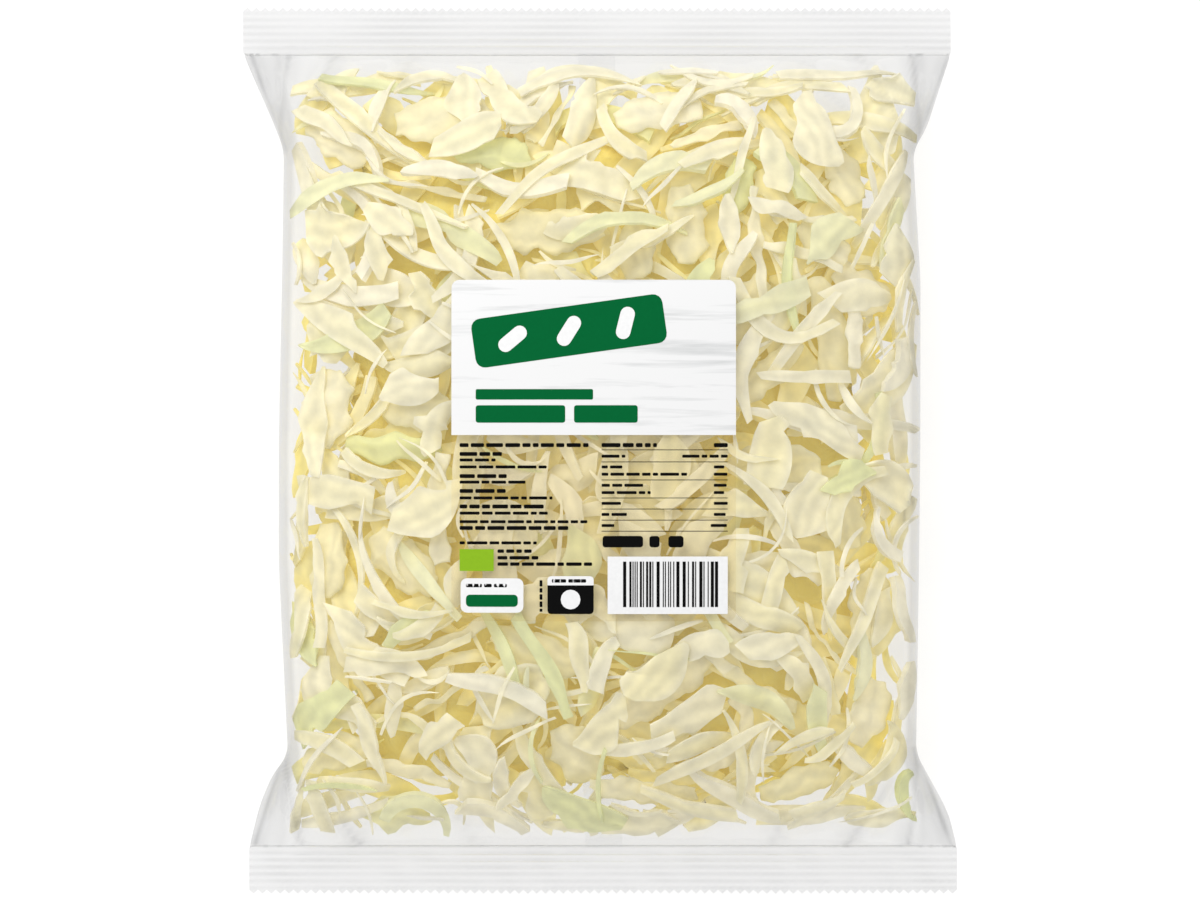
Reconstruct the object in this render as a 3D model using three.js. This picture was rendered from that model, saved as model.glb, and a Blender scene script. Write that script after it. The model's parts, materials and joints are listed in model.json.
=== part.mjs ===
// A clear film pillow bag of shredded white cabbage, lying on its back, front face up.
//
// Millimetres. X runs across the bag, Y runs towards its top seal, and Z is up. The origin is the
// middle of the bag on the surface that it rests on.

import * as THREE from 'three';

// ---- Driving dimensions -------------------------------------------------------------------

const BAG_LENGTH = 288; // seal edge to seal edge
const FLAT_WIDTH = 230; // width of the empty tube, and of the seals
const SEAL_DEPTH = 15;
const TOOTH_COUNT = 80; // zig-zag teeth along each cut edge
const TOOTH_DEPTH = 1.3;
const SEAL_THICKNESS = 0.6; // two films and the ribs that are pressed into them
const SEAL_HEIGHT = 9; // the seals stand this high above the resting surface

const FILLED_HEIGHT = 45; // thickness of the filled bag
const FILM_WALL = 0.3; // stands in for film about 0.04 mm thick
const SIDE_WALL = 1.2; // wall at the side folds
const END_OPENING = 3.2; // height of the tube where it meets a seal
const CREASE_LEVEL = 0.4; // height of the side folds, as a share of the section's height
const BOTTOM_PRESS = 2; // how far the round bottom is pressed flat by the weight
const BOTTOM_FLAT_Y = 62; // the back lies flat on the surface out to here
const BOTTOM_CURVE = 1.7; // how gently the back leaves the surface
const CROWN = { along: 4, blend: 0.85 }; // the front's curve from seal to seal
const FRONT_ARCH = { across: 2.7, blend: 0.56 }; // the front's curve from side to side
const BACK_ARCH = { across: 3.2, blend: 0.55 }; // the back's curve from side to side
const SEAL_SHIFT = 1; // the two seals are offset sideways by this much, in opposite directions

// The outline of the filled bag as y and x of each side, from the bottom seal to the top one: the
// sides are nearly straight, are pinched near the ends, and then flare to the seals.
const LEFT_SIDE = [
  [-129, -114], [-115, -110.2], [-104.7, -106], [-98.5, -100.9], [-36, -103.7], [3, -103.7],
  [55, -102.7], [97, -102.2], [105, -105.3], [117, -110.6], [129, -116],
];
const RIGHT_SIDE = [
  [-129, 116], [-117, 112.7], [-104.7, 106], [-98, 102.2], [-36, 103], [0, 103.4],
  [55, 103.5], [97, 101.2], [103.5, 105.4], [119, 110.6], [129, 114],
];
const OUTLINE_SOFTNESS = 3; // the outline's corners are rounded over this length to each side

const SEAM_WIDTH = 12;
const SEAM_THICKNESS = 0.5;
const SEAM_GROOVE = 0.85; // the back rises this much over the folded seam
const GROOVE_HALF_WIDTH = 6.6; // the groove is full depth out to here
const GROOVE_RAMP = 1.6; // and runs out over this width

const LABEL_WIDTH = 90;
const LABEL_LENGTH = 108;
const LABEL_X = -2;
const LABEL_THICKNESS = 0.3;
const LABEL_CORNER = 2.5;

const GAP = 0.3; // between pieces that touch
const FILL_DEPTH = 10.2; // the top of the packed shreds lies this far under the film
const FILL_HALF_LENGTH = 119;
const FILL_SIDE_GAP = 5;
const SHRED_CLEARANCE = 0.55; // between one shred and the next
const FILM_CLEARANCE = 0.5; // between the highest shreds and the film

const HALF_LENGTH = BAG_LENGTH / 2;
const TUBE_HALF_LENGTH = HALF_LENGTH - SEAL_DEPTH - GAP;
const SEAL_HALF_WIDTH = FLAT_WIDTH / 2;

// ---- Materials ----------------------------------------------------------------------------

function material(color, roughness) {
  return new THREE.MeshStandardMaterial({ color, roughness, metalness: 0 });
}

function clearFilm() {
  const film = material('#f1f2f2', 0.12);
  film.transparent = true;
  film.opacity = 0.35;
  return film;
}

const SHRED_LOOKS = {
  leaf: { color: '#ebe4bd', roughness: 0.5 },
  greenLeaf: { color: '#dfe2a6', roughness: 0.5 },
  strip: { color: '#efe9cd', roughness: 0.48 },
  rib: { color: '#f3efdd', roughness: 0.42 },
  sliver: { color: '#f1ebd2', roughness: 0.48 },
  cup: { color: '#e6dcae', roughness: 0.5 },
};

// ---- The bag's shape ----------------------------------------------------------------------

function mix(a, b, t) {
  return a + (b - a) * t;
}

/** x of one side of the bag at y, straight between its points. */
function straightSide(points, y) {
  const next = points.findIndex(([pointY]) => pointY >= y);
  if (next === 0) return points[0][1];
  if (next < 0) return points[points.length - 1][1];
  const [y0, x0] = points[next - 1];
  const [y1, x1] = points[next];
  return mix(x0, x1, (y - y0) / (y1 - y0));
}

/** x of one side of the bag at y, with its corners rounded. */
function sideX(points, y) {
  const offsets = [-1, -0.5, 0, 0.5, 1];
  const sum = offsets.reduce((total, k) => total + straightSide(points, y + k * OUTLINE_SOFTNESS), 0);
  return sum / offsets.length;
}

/** x of the bag's middle line at y. */
function middleX(y) {
  return (sideX(LEFT_SIDE, y) + sideX(RIGHT_SIDE, y)) / 2;
}

/** Half width of the film tube at y. */
function halfWidth(y) {
  return (sideX(RIGHT_SIDE, y) - sideX(LEFT_SIDE, y)) / 2;
}

/** Height of the back panel at y, flat in the middle and rising to the seals. */
function bottomLevel(y) {
  const rise = Math.max(0, (Math.abs(y) - BOTTOM_FLAT_Y) / (TUBE_HALF_LENGTH - BOTTOM_FLAT_Y));
  return (SEAL_HEIGHT - END_OPENING / 2) * rise ** BOTTOM_CURVE;
}

/** Height of the crown of the front panel at y. */
function topLevel(y) {
  const end = SEAL_HEIGHT + END_OPENING / 2;
  const along = Math.min(Math.abs(y) / TUBE_HALF_LENGTH, 1);
  return mix(end, FILLED_HEIGHT, (1 - along ** CROWN.along) ** CROWN.blend);
}

/** Section of the bag at y. The inset section is the film's inner face. */
function section(y, inset) {
  const bottom = bottomLevel(y);
  const top = topLevel(y);
  return {
    half: halfWidth(y) - (inset ? SIDE_WALL : 0),
    crease: mix(bottom, top, CREASE_LEVEL),
    bottom: bottom + (inset ? FILM_WALL : 0),
    top: top - (inset ? FILM_WALL : 0),
  };
}

/** Share of the section's height at x: 1 in the middle, 0 at the side folds. */
function archShare(x, y, half, arch) {
  const across = Math.min(Math.abs(x - middleX(y)) / half, 1);
  return (1 - across ** arch.across) ** arch.blend;
}

/** Height of the film's front panel over the point x, y. */
function frontHeight(x, y, inset) {
  const { half, crease, top } = section(y, inset);
  return mix(crease, top, archShare(x, y, half, FRONT_ARCH));
}

/** Height of the film's back panel, without the groove over the seam. */
function backHeight(x, y, inset) {
  const { half, crease, bottom } = section(y, inset);
  const round = mix(crease, bottom - BOTTOM_PRESS, archShare(x, y, half, BACK_ARCH));
  return Math.max(bottom, round);
}

/** How much the back panel rises over the folded seam, by the distance from the middle line. */
function seamGroove(distance) {
  const inside = (GROOVE_HALF_WIDTH + GROOVE_RAMP - distance) / GROOVE_RAMP;
  return SEAM_GROOVE * THREE.MathUtils.clamp(inside, 0, 1);
}

// ---- Film tube ----------------------------------------------------------------------------

const TUBE_STATIONS = [0, 20, 40, 56, 70, 82, 91, 98, 104, 111, 118, 124, TUBE_HALF_LENGTH];
const FRONT_STEPS = 18;
const GROOVE_EDGE = GROOVE_HALF_WIDTH + GROOVE_RAMP;
const SEAM_STATIONS = [-GROOVE_EDGE, -GROOVE_HALF_WIDTH, GROOVE_HALF_WIDTH, GROOVE_EDGE];
const BACK_SIDE_STEPS = 7;

/** The stations from one end of the tube to the other. */
function alongStations() {
  const mirrored = TUBE_STATIONS.slice(1).map((y) => -y).reverse();
  return [...mirrored, ...TUBE_STATIONS];
}

/** Points around the tube's section, from the +X fold over the front and back under the back. */
function ringPoints(y, inset) {
  const half = section(y, inset).half;
  const middle = middleX(y);
  const points = [];
  for (let i = 0; i <= FRONT_STEPS; i += 1) {
    const x = middle + half * Math.cos((Math.PI * i) / FRONT_STEPS);
    points.push([x, frontHeight(x, y, inset)]);
  }
  const backSide = [];
  for (let i = 1; i < BACK_SIDE_STEPS; i += 1) {
    backSide.push(half * Math.cos((Math.PI / 2) * (i / BACK_SIDE_STEPS)));
  }
  const left = backSide.map((x) => -x);
  const right = [...backSide].reverse();
  for (const offset of [...left, ...SEAM_STATIONS, ...right]) {
    const x = middle + offset;
    points.push([x, backHeight(x, y, inset) + seamGroove(Math.abs(offset))]);
  }
  return points;
}

/** A lathed square ring whose rows are moved onto the bag's sections: a tube open at both ends. */
function filmTube() {
  const stations = alongStations();
  const outer = stations.map((y) => ringPoints(y, false));
  const inner = stations.map((y) => ringPoints(y, true));
  const steps = outer[0].length;
  const profile = [];
  for (const y of stations) profile.push(new THREE.Vector2(1, y));
  for (const y of [...stations].reverse()) profile.push(new THREE.Vector2(2, y));
  profile.push(profile[0].clone());
  const geometry = new THREE.LatheGeometry(profile, steps);
  const position = geometry.attributes.position;
  const rows = [...inner, ...[...outer].reverse(), inner[0]];
  const ys = [...stations, ...[...stations].reverse(), stations[0]];
  for (let i = 0; i <= steps; i += 1) {
    for (let j = 0; j < rows.length; j += 1) {
      const [x, z] = rows[j][i % steps];
      position.setXYZ(i * rows.length + j, x, ys[j], z);
    }
  }
  return geometry;
}

// ---- Seams and seals ----------------------------------------------------------------------

/** The folded fin seam, lying flat in the groove of the back panel from seal to seal. */
function backSeam() {
  const stations = alongStations();
  const geometry = new THREE.BoxGeometry(1, 1, 1, 1, stations.length - 1, 1);
  const position = geometry.attributes.position;
  for (let i = 0; i < position.count; i += 1) {
    const y = stations[Math.round((position.getY(i) + 0.5) * (stations.length - 1))];
    const x = middleX(y) + position.getX(i) * SEAM_WIDTH;
    const rise = position.getZ(i) > 0 ? SEAM_THICKNESS : 0;
    position.setXYZ(i, x, y, bottomLevel(y) + rise);
  }
  return geometry;
}

/** One crimped end band with its zig-zag cut edge. end is 1 for the top and -1 for the bottom. */
function endSeal(end) {
  const pitch = FLAT_WIDTH / TOOTH_COUNT;
  const shape = new THREE.Shape();
  shape.moveTo(-SEAL_HALF_WIDTH, 0);
  shape.lineTo(SEAL_HALF_WIDTH, 0);
  shape.lineTo(SEAL_HALF_WIDTH, SEAL_DEPTH - TOOTH_DEPTH);
  for (let tooth = 0; tooth < TOOTH_COUNT; tooth += 1) {
    const root = SEAL_HALF_WIDTH - tooth * pitch;
    shape.lineTo(root - pitch / 2, SEAL_DEPTH);
    shape.lineTo(root - pitch, SEAL_DEPTH - TOOTH_DEPTH);
  }
  shape.closePath();
  const geometry = new THREE.ExtrudeGeometry(shape, { depth: SEAL_THICKNESS, bevelEnabled: false });
  if (end < 0) geometry.rotateZ(Math.PI);
  const start = HALF_LENGTH - SEAL_DEPTH;
  geometry.translate(-end * SEAL_SHIFT, end * start, SEAL_HEIGHT - SEAL_THICKNESS / 2);
  return geometry;
}

// ---- Label --------------------------------------------------------------------------------

/** Distance that a rounded corner draws in at a given distance from the edge. */
function cornerInset(fromEdge) {
  const short = Math.max(0, LABEL_CORNER - fromEdge);
  return LABEL_CORNER - Math.sqrt(LABEL_CORNER ** 2 - short ** 2);
}

/** The sticker, a thin sheet that follows the front panel. */
function labelSheet() {
  const columns = 10;
  const body = 10;
  const edge = LABEL_LENGTH / 2;
  const corner = [0, 0.3, 1].map((share) => edge - LABEL_CORNER * share);
  const rows = [];
  for (const y of corner) rows.push(-y);
  for (let i = 1; i < body; i += 1) rows.push(mix(LABEL_CORNER - edge, edge - LABEL_CORNER, i / body));
  rows.push(...[...corner].reverse());
  const geometry = new THREE.BoxGeometry(1, 1, 1, columns, rows.length - 1, 1);
  const position = geometry.attributes.position;
  for (let i = 0; i < position.count; i += 1) {
    const y = rows[Math.round((position.getY(i) + 0.5) * (rows.length - 1))];
    const width = LABEL_WIDTH - 2 * cornerInset(edge - Math.abs(y));
    const x = LABEL_X + position.getX(i) * width;
    const lift = position.getZ(i) > 0 ? LABEL_THICKNESS : 0;
    position.setXYZ(i, x, y, frontHeight(x, y, false) + GAP + lift);
  }
  return geometry;
}

// ---- Packed shreds under the surface ones --------------------------------------------------

const FILL_STATIONS = 24;
const FILL_COLUMNS = 22;

/** Uneven relief of the packed shreds. */
function fillRelief(x, y) {
  return 0.9 * Math.sin(x * 0.19 + 1.3) * Math.cos(y * 0.16) + 0.7 * Math.sin(x * 0.07 - y * 0.23);
}

/** Top of the packed shreds at x, y. */
function fillTop(x, y) {
  const floor = backHeight(x, y, true) + SEAM_GROOVE + GAP;
  const wanted = frontHeight(x, y, true) - FILL_DEPTH + fillRelief(x, y);
  return Math.max(wanted, floor + 1.5);
}

/** The packed shreds as one body, clear of the film all round. */
function packedShreds() {
  const geometry = new THREE.BoxGeometry(1, 1, 1, FILL_COLUMNS, FILL_STATIONS, 1);
  const position = geometry.attributes.position;
  for (let i = 0; i < position.count; i += 1) {
    const y = position.getY(i) * 2 * FILL_HALF_LENGTH;
    const half = halfWidth(y) - SIDE_WALL - FILL_SIDE_GAP;
    const x = middleX(y) + half * Math.sin(position.getX(i) * Math.PI);
    const bottom = backHeight(x, y, true) + SEAM_GROOVE + GAP;
    position.setXYZ(i, x, y, position.getZ(i) > 0 ? fillTop(x, y) : bottom);
  }
  return geometry;
}

// ---- Surface shreds -----------------------------------------------------------------------

// Each shred: kind, middle x and y, direction of its length in degrees, length, width, and how
// far its middle line bends in degrees. They are laid in this order, each on those before it.
const SHREDS = [
  ['leaf', -51, 108, 12, 30, 15, 15],
  ['leaf', 19, 108, 8, 28, 12, -20],
  ['leaf', -84, 101, -35, 24, 14, 10],
  ['leaf', 84, 52, -35, 20, 12, 15],
  ['leaf', -87, 70, -65, 24, 12, -15],
  ['leaf', -88, -35, 85, 24, 12, 20],
  ['leaf', 87, -50, 80, 24, 12, -15],
  ['leaf', 86, -84, 70, 22, 12, 20],
  ['leaf', 78, -22, -75, 20, 14, 10],
  ['leaf', -84, -98, 20, 24, 11, -15],
  ['leaf', 64, -106, 20, 26, 10, 20],
  ['leaf', -62, -35, -40, 26, 14, 25],
  ['leaf', 46, 44, 60, 24, 13, -20],
  ['leaf', -20, -63, -20, 30, 12, 25],
  ['leaf', -88, 14, 80, 25, 16, 10],
  ['leaf', 26.9, 72, 95, 25, 13, 10],
  ['leaf', 12.5, 64.5, 85, 22, 11.5, -12],
  ['leaf', 72, 67, -40, 18, 12, 18],
  ['leaf', 77.8, 88, -70, 19, 11, -12],
  ['greenLeaf', -35, 96.5, -8, 26, 11, 15],
  ['greenLeaf', 44.2, 85, 75, 18, 9.6, 0],
  ['greenLeaf', -65.6, 1.6, 0, 31, 9, 12],
  ['leaf', -59, 13, -10, 24, 14, -18],
  ['leaf', -16, 70.7, 5, 34, 14, 14],
  ['leaf', 54, 26, 45, 26, 9, 15],
  ['leaf', 71.5, 36, -80, 40, 10.5, -34],
  ['cup', 56, -5, 0, 30, 15, 0],
  ['cup', -28, -78, 35, 26, 19, 8],
  ['leaf', -7, -97, -60, 20, 15, 12],
  ['leaf', 19, -76, 35, 40, 16, -20],
  ['leaf', 14, -109, -6, 34, 8, 10],
  ['rib', -50, -19, 90, 36, 6, -22],
  ['rib', 80.6, 38, 92, 22, 4.8, 15],
  ['rib', 36, -89, 60, 36, 4.6, 165],
  ['strip', 64.5, 103, -48, 28, 4, 12],
  ['strip', 34, 101, 20, 24, 3.6, -15],
  ['strip', 50.6, 66, -85, 36, 3.8, 10],
  ['strip', 66, 77, -8, 31, 3, 45],
  ['strip', 65, 62, -17, 27, 3.4, -10],
  ['strip', 46.7, -71, -35, 40, 4, 30],
  ['strip', -53, -62, 25, 40, 4.2, 12],
  ['strip', -80, -68, -60, 28, 4, 20],
  ['strip', -62, -104, -15, 28, 4.4, -20],
  ['strip', 68, -12, -5, 30, 3.2, 8],
  ['sliver', -48, -76, 30, 28, 2, 12],
  ['sliver', -54.4, 84, -12, 36, 2.2, 5],
  ['sliver', 76, -61, -50, 32, 2, 55],
  ['sliver', -14, 108, 60, 22, 2, 15],
  ['sliver', 58, -15, -55, 22, 2.4, 8],
];

const KINDS = {
  leaf: { node: 'cabbage_leaf_piece', thickness: 0.8, camber: 0.1, taper: 0.55, wave: 0.14 },
  greenLeaf: { node: 'cabbage_green_leaf_piece', thickness: 0.8, camber: 0.08, taper: 0.5, wave: 0.12 },
  cup: { node: 'cabbage_cupped_leaf_piece', thickness: 0.8, camber: -0.2, taper: 0.7, wave: 0.05 },
  rib: { node: 'cabbage_rib_slice', thickness: 1.6, camber: 0.04, taper: 0.25, wave: 0.05 },
  strip: { node: 'cabbage_strip', thickness: 1, camber: 0.06, taper: 0.3, wave: 0.08 },
  sliver: { node: 'cabbage_sliver', thickness: 0.8, camber: 0, taper: 0.3, wave: 0.05 },
};

const LENGTH_CELLS = 8;
const WIDTH_CELLS = 2;
const CELL_SAMPLES = 8; // height samples along each side of a shred's cell
const STIFFNESS = 0.05; // how sharply a shred can bend over what lies under it, per mm

/** Heights of what has been laid so far, on a 1 mm grid over the bag. */
class Heap {
  constructor(surface) {
    this.halfX = 120;
    this.halfY = 135;
    this.columns = 2 * this.halfX + 1;
    this.heights = new Float64Array(this.columns * (2 * this.halfY + 1));
    for (let y = -this.halfY; y <= this.halfY; y += 1) {
      for (let x = -this.halfX; x <= this.halfX; x += 1) this.raise(x, y, surface(x, y));
    }
  }

  index(x, y) {
    return (Math.round(y) + this.halfY) * this.columns + Math.round(x) + this.halfX;
  }

  height(x, y) {
    return this.heights[this.index(x, y)];
  }

  /** Raises the grid at x, y and at its neighbours, so that a lookup never comes out too low. */
  raise(x, y, z) {
    for (let dy = -1; dy <= 1; dy += 1) {
      for (let dx = -1; dx <= 1; dx += 1) {
        const inside = Math.abs(x + dx) <= this.halfX && Math.abs(y + dy) <= this.halfY;
        if (!inside) continue;
        const at = this.index(x + dx, y + dy);
        this.heights[at] = Math.max(this.heights[at], z);
      }
    }
  }
}

/** Middle line of a shred as points with headings, centred on its given middle. */
function middleLine([, x, y, degrees, length, , bend]) {
  const turn = THREE.MathUtils.degToRad(bend);
  const start = THREE.MathUtils.degToRad(degrees) - turn / 2;
  const step = length / LENGTH_CELLS;
  const points = [{ x: 0, y: 0, heading: start }];
  for (let i = 1; i <= LENGTH_CELLS; i += 1) {
    const before = points[i - 1];
    const heading = start + (turn * i) / LENGTH_CELLS;
    const middle = (before.heading + heading) / 2;
    points.push({
      x: before.x + step * Math.cos(middle),
      y: before.y + step * Math.sin(middle),
      heading,
    });
  }
  const offsetX = x - (points[0].x + points[LENGTH_CELLS].x) / 2;
  const offsetY = y - (points[0].y + points[LENGTH_CELLS].y) / 2;
  return points.map((point) => ({ ...point, x: point.x + offsetX, y: point.y + offsetY }));
}

/** The shred's lattice of plan positions, with its own camber and wave but not yet laid. */
function shredLattice(spec, order) {
  const width = spec[5];
  const kind = KINDS[spec[0]];
  const line = middleLine(spec);
  return line.map((point, i) => {
    const u = i / LENGTH_CELLS;
    const fullness = 1 - kind.taper * Math.abs(2 * u - 1) ** 2.4;
    const row = [];
    for (let j = 0; j <= WIDTH_CELLS; j += 1) {
      const side = (2 * j) / WIDTH_CELLS - 1;
      const ragged = 1 + kind.wave * Math.sin(order * 1.7 + i * 1.9 + side * 2.3);
      const reach = (side * width * fullness * ragged) / 2;
      const x = point.x - reach * Math.sin(point.heading);
      const y = point.y + reach * Math.cos(point.heading);
      const cupped = kind.camber * width * (1 - side * side) * fullness;
      const z = frontHeight(x, y, true) + cupped;
      row.push({ x, y, z });
    }
    return row;
  });
}

/** Point of the lattice cell i, j at the shares s and t of its sides. */
function cellPoint(lattice, i, j, s, t) {
  const at = (key) => {
    const near = mix(lattice[i][j][key], lattice[i][j + 1][key], t);
    const far = mix(lattice[i + 1][j][key], lattice[i + 1][j + 1][key], t);
    return mix(near, far, s);
  };
  return { x: at('x'), y: at('y'), z: at('z') };
}

/** Runs a task at every height sample of the lattice, with the cell's row. */
function eachSample(lattice, task) {
  for (let i = 0; i < LENGTH_CELLS; i += 1) {
    for (let j = 0; j < WIDTH_CELLS; j += 1) {
      for (let a = 0; a <= CELL_SAMPLES; a += 1) {
        for (let b = 0; b <= CELL_SAMPLES; b += 1) {
          task(cellPoint(lattice, i, j, a / CELL_SAMPLES, b / CELL_SAMPLES), i);
        }
      }
    }
  }
}

/** Lowers the lattice onto the heap: it touches what is under it and never cuts into it. */
function layLattice(lattice, heap, spec) {
  const lift = new Array(LENGTH_CELLS + 1).fill(-Infinity);
  eachSample(lattice, (point, i) => {
    const need = heap.height(point.x, point.y) - point.z + SHRED_CLEARANCE;
    lift[i] = Math.max(lift[i], need);
    lift[i + 1] = Math.max(lift[i + 1], need);
  });
  const step = spec[4] / LENGTH_CELLS;
  lattice.forEach((row, i) => {
    const bent = lift.map((need, k) => need - STIFFNESS * ((i - k) * step) ** 2);
    const raised = Math.max(...bent);
    for (const point of row) point.z += raised;
  });
}

/** One shred as a bent thin box, laid on the heap, which then holds it too. */
function shredGeometry(spec, order, heap) {
  const { thickness } = KINDS[spec[0]];
  const lattice = shredLattice(spec, order);
  layLattice(lattice, heap, spec);
  eachSample(lattice, ({ x, y, z }) => {
    heap.raise(x, y, z + thickness);
    if (z + thickness > frontHeight(x, y, true) - FILM_CLEARANCE) {
      throw new Error(`shred ${order} of kind ${spec[0]} at ${spec[1]}, ${spec[2]} meets the film`);
    }
  });
  const geometry = new THREE.BoxGeometry(1, 1, 1, LENGTH_CELLS, WIDTH_CELLS, 1);
  const position = geometry.attributes.position;
  for (let i = 0; i < position.count; i += 1) {
    const along = Math.round((position.getX(i) + 0.5) * LENGTH_CELLS);
    const across = Math.round((position.getY(i) + 0.5) * WIDTH_CELLS);
    const { x, y, z } = lattice[along][across];
    position.setXYZ(i, x, y, position.getZ(i) > 0 ? z + thickness : z);
  }
  return geometry;
}

// ---- Assembly -----------------------------------------------------------------------------

const bag = new THREE.Group();

function addPiece(parent, name, geometry, look) {
  const mesh = new THREE.Mesh(geometry, look);
  mesh.name = name;
  parent.add(mesh);
}

const packaging = new THREE.Group();
addPiece(packaging, 'film_tube', filmTube(), clearFilm());
addPiece(packaging, 'back_seam', backSeam(), clearFilm());
addPiece(packaging, 'top_seal', endSeal(1), clearFilm());
addPiece(packaging, 'bottom_seal', endSeal(-1), clearFilm());
addPiece(packaging, 'front_label', labelSheet(), material('#f6f6f4', 0.45));
bag.add(packaging);

const contents = new THREE.Group();
addPiece(contents, 'packed_shreds', packedShreds(), material('#d9cb94', 0.55));
const heap = new Heap(fillTop);
const counts = {};
SHREDS.forEach((spec, order) => {
  const kind = spec[0];
  counts[kind] = (counts[kind] ?? 0) + 1;
  const name = `${KINDS[kind].node}_${String(counts[kind]).padStart(2, '0')}`;
  const look = SHRED_LOOKS[kind];
  addPiece(contents, name, shredGeometry(spec, order, heap), material(look.color, look.roughness));
});
bag.add(contents);

export default bag;
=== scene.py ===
import json
import math
from dataclasses import dataclass

import bmesh
import bpy
import numpy as np
from bpy.props import FloatProperty, FloatVectorProperty, IntProperty, PointerProperty
from bpy.types import Operator, Panel, PropertyGroup
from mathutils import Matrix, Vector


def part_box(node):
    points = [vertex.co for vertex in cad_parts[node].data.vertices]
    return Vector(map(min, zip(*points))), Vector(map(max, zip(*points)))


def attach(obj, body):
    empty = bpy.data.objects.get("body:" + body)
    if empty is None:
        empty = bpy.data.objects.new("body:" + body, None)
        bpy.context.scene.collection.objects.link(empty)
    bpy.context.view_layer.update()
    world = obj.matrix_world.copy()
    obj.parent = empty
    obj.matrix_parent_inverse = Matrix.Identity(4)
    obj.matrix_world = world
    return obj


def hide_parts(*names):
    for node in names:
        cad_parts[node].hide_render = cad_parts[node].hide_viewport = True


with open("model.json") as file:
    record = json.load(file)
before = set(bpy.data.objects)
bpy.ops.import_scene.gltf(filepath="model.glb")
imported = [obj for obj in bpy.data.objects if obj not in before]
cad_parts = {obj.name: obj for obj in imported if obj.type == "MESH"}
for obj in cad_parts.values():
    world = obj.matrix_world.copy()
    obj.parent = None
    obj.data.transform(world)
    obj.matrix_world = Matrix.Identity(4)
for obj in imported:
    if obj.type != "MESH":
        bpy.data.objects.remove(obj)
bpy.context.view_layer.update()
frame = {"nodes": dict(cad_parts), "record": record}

bl_info = {
    "name": "Bag of Shredded White Cabbage",
    "version": (1, 0, 0),
    "blender": (4, 5, 0),
    "location": "3D View > Sidebar > Cabbage Bag",
    "description": "Builds a clear film pillow bag filled with shredded white cabbage",
    "category": "Add Mesh",
}

MM = 0.001  # all shapes are worked out in millimetres and written in metres


def corners(node):
    """Lowest and highest corner of a CAD node, in millimetres."""
    low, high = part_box(node)
    return low / MM, high / MM


# ---- The bag's shape, as the CAD has it ----------------------------------------------------

SEAL_LOW, SEAL_HIGH = corners("top_seal")
LABEL_LOW, LABEL_HIGH = corners("front_label")
FILLED_HEIGHT = corners("film_tube")[1].z
SEAL_Z = (SEAL_LOW.z + SEAL_HIGH.z) / 2
END_Y = SEAL_LOW.y  # the film meets the seals here
BAG_HALF_LENGTH = SEAL_HIGH.y
SEAL_HALF_WIDTH = (SEAL_HIGH.x - SEAL_LOW.x) / 2
SEAL_SHIFT = -(SEAL_HIGH.x + SEAL_LOW.x) / 2
LABEL_X = (LABEL_LOW.x + LABEL_HIGH.x) / 2
LABEL_WIDTH = LABEL_HIGH.x - LABEL_LOW.x
LABEL_LENGTH = LABEL_HIGH.y - LABEL_LOW.y

LEFT_SIDE = (
    (-129, -114), (-115, -110.2), (-104.7, -106), (-98.5, -100.9), (-36, -103.7), (3, -103.7),
    (55, -102.7), (97, -102.2), (105, -105.3), (117, -110.6), (129, -116),
)
RIGHT_SIDE = (
    (-129, 116), (-117, 112.7), (-104.7, 106), (-98, 102.2), (-36, 103), (0, 103.4),
    (55, 103.5), (97, 101.2), (103.5, 105.4), (119, 110.6), (129, 114),
)
OUTLINE_SOFTNESS = 3
CREASE_LEVEL = 0.4
BOTTOM_PRESS = 2
BOTTOM_FLAT_Y = 62
BOTTOM_CURVE = 1.7
CROWN = (4, 0.85)
FRONT_ARCH = (2.7, 0.56)
BACK_ARCH = (3.2, 0.55)
SEAM_WIDTH = 12
GROOVE_DEPTH = 0.85
GROOVE_HALF_WIDTH = 6.6
GROOVE_RAMP = 1.6


def mix(a, b, share):
    return a + (b - a) * share


def side_x(points, y):
    """x of one side of the bag at y, with the outline's corners rounded."""
    ys, xs = zip(*points)
    offsets = (-1, -0.5, 0, 0.5, 1)
    return sum(np.interp(y + k * OUTLINE_SOFTNESS, ys, xs) for k in offsets) / len(offsets)


def middle_and_half(y):
    left = side_x(LEFT_SIDE, y)
    right = side_x(RIGHT_SIDE, y)
    return (left + right) / 2, (right - left) / 2


def end_share(y):
    return np.clip(np.abs(y) / END_Y, 0, 1)


def top_level(y):
    return mix(SEAL_Z, FILLED_HEIGHT, (1 - end_share(y) ** CROWN[0]) ** CROWN[1])


def bottom_level(y):
    rise = np.clip((np.abs(y) - BOTTOM_FLAT_Y) / (END_Y - BOTTOM_FLAT_Y), 0, 1)
    return SEAL_Z * rise ** BOTTOM_CURVE


def arch_share(x, y, arch):
    middle, half = middle_and_half(y)
    across = np.clip(np.abs(x - middle) / half, 0, 1)
    return (1 - across ** arch[0]) ** arch[1]


def front_height(x, y):
    """Height of the front panel over x, y."""
    crease = mix(bottom_level(y), top_level(y), CREASE_LEVEL)
    return mix(crease, top_level(y), arch_share(x, y, FRONT_ARCH))


def back_height(x, y):
    """Height of the back panel over x, y, with the groove over the folded seam."""
    bottom = bottom_level(y)
    crease = mix(bottom, top_level(y), CREASE_LEVEL)
    fade = 1 - end_share(y) ** 12
    round_back = mix(crease, bottom - BOTTOM_PRESS * fade, arch_share(x, y, BACK_ARCH))
    middle, _ = middle_and_half(y)
    inside = (GROOVE_HALF_WIDTH + GROOVE_RAMP - np.abs(x - middle)) / GROOVE_RAMP
    return np.maximum(bottom, round_back) + GROOVE_DEPTH * fade * np.clip(inside, 0, 1)


# ---- Folds and slack of the film -----------------------------------------------------------


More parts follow.
